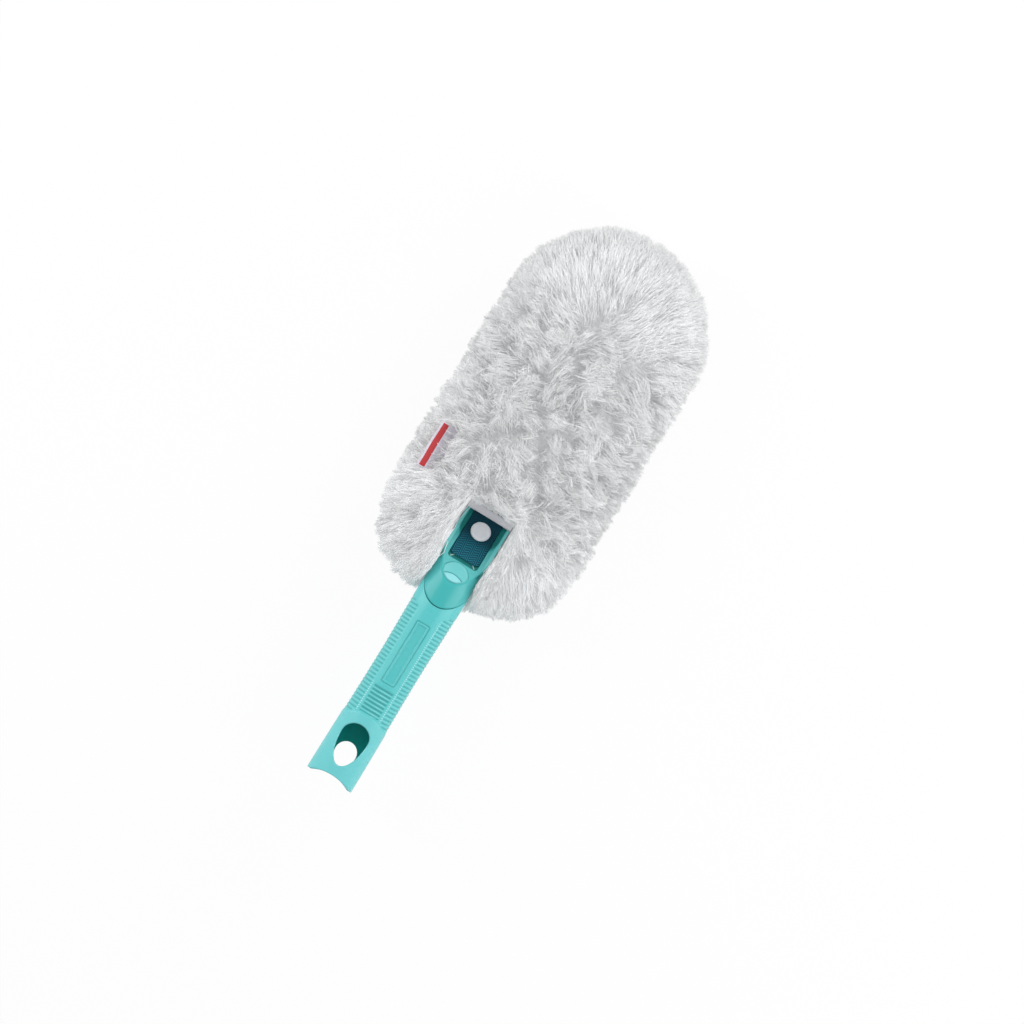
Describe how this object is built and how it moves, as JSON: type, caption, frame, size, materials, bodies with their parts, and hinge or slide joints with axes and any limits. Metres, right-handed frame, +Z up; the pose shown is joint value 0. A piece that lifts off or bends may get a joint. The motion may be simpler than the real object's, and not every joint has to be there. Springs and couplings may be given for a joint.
{
  "type": "hand duster",
  "caption": "Hand duster with a ribbed tube handle, an angled neck with a snap strap, and a long round-ended head in a tufted pile cover.",
  "frame": {"origin": "centre of the bounding box's footprint, on the plane of the cut-flat tufts that the duster lies on", "axes": "+Y along the handle from the grip's open end towards the head's round end, +Z up out of the front with the strap and the thumb pad, +X across"},
  "size_m": [0.1487, 0.4396, 0.0786],
  "materials": {
    "grip_plastic": "satin",
    "neck_plastic": "satin",
    "button_plastic": "satin",
    "blade_plastic": "matte",
    "sleeve_cloth": "plain woven cloth",
    "front_pile": "trimmed tufted pile",
    "back_pile": "trimmed tufted pile",
    "hem_tape": "woven tape",
    "strap_webbing": "twill webbing",
    "tail_webbing": "twill webbing",
    "cap_plastic": "gloss",
    "socket_plastic": "gloss",
    "stud_plastic": "gloss",
    "label_weave": "woven label"
  },
  "bodies": {
    "head": {"neck": "neck_plastic", "paddle_blade": "blade_plastic", "cover_sleeve": "sleeve_cloth", "pile_front": "front_pile", "pile_back": "back_pile", "hem_band": "hem_tape", "strap_tail": "tail_webbing", "snap_stud": "stud_plastic", "side_label": "label_weave"},
    "grip_body": {"grip": "grip_plastic"},
    "button_body": {"release_button": "button_plastic"},
    "strap_body": {"closure_strap": "strap_webbing", "snap_cap": "cap_plastic", "snap_socket": "socket_plastic"}
  },
  "joints": [
    {"name": "strap_lift", "type": "hinge", "parent": "head", "child": "strap_body", "pos_m": [0, -0.00755, 0.04421], "axis": [-1, 0, 0], "range_deg": [0, 80]},
    {"name": "grip_pull_off", "type": "slide", "parent": "head", "child": "grip_body", "axis": [0, -1, 0], "range_m": [0, 0.045]},
    {"name": "button_press", "type": "slide", "parent": "head", "child": "button_body", "axis": [0, -0.454, -0.891], "range_m": [0, 0.0015], "stiffness_N_per_m": 600}
  ]
}
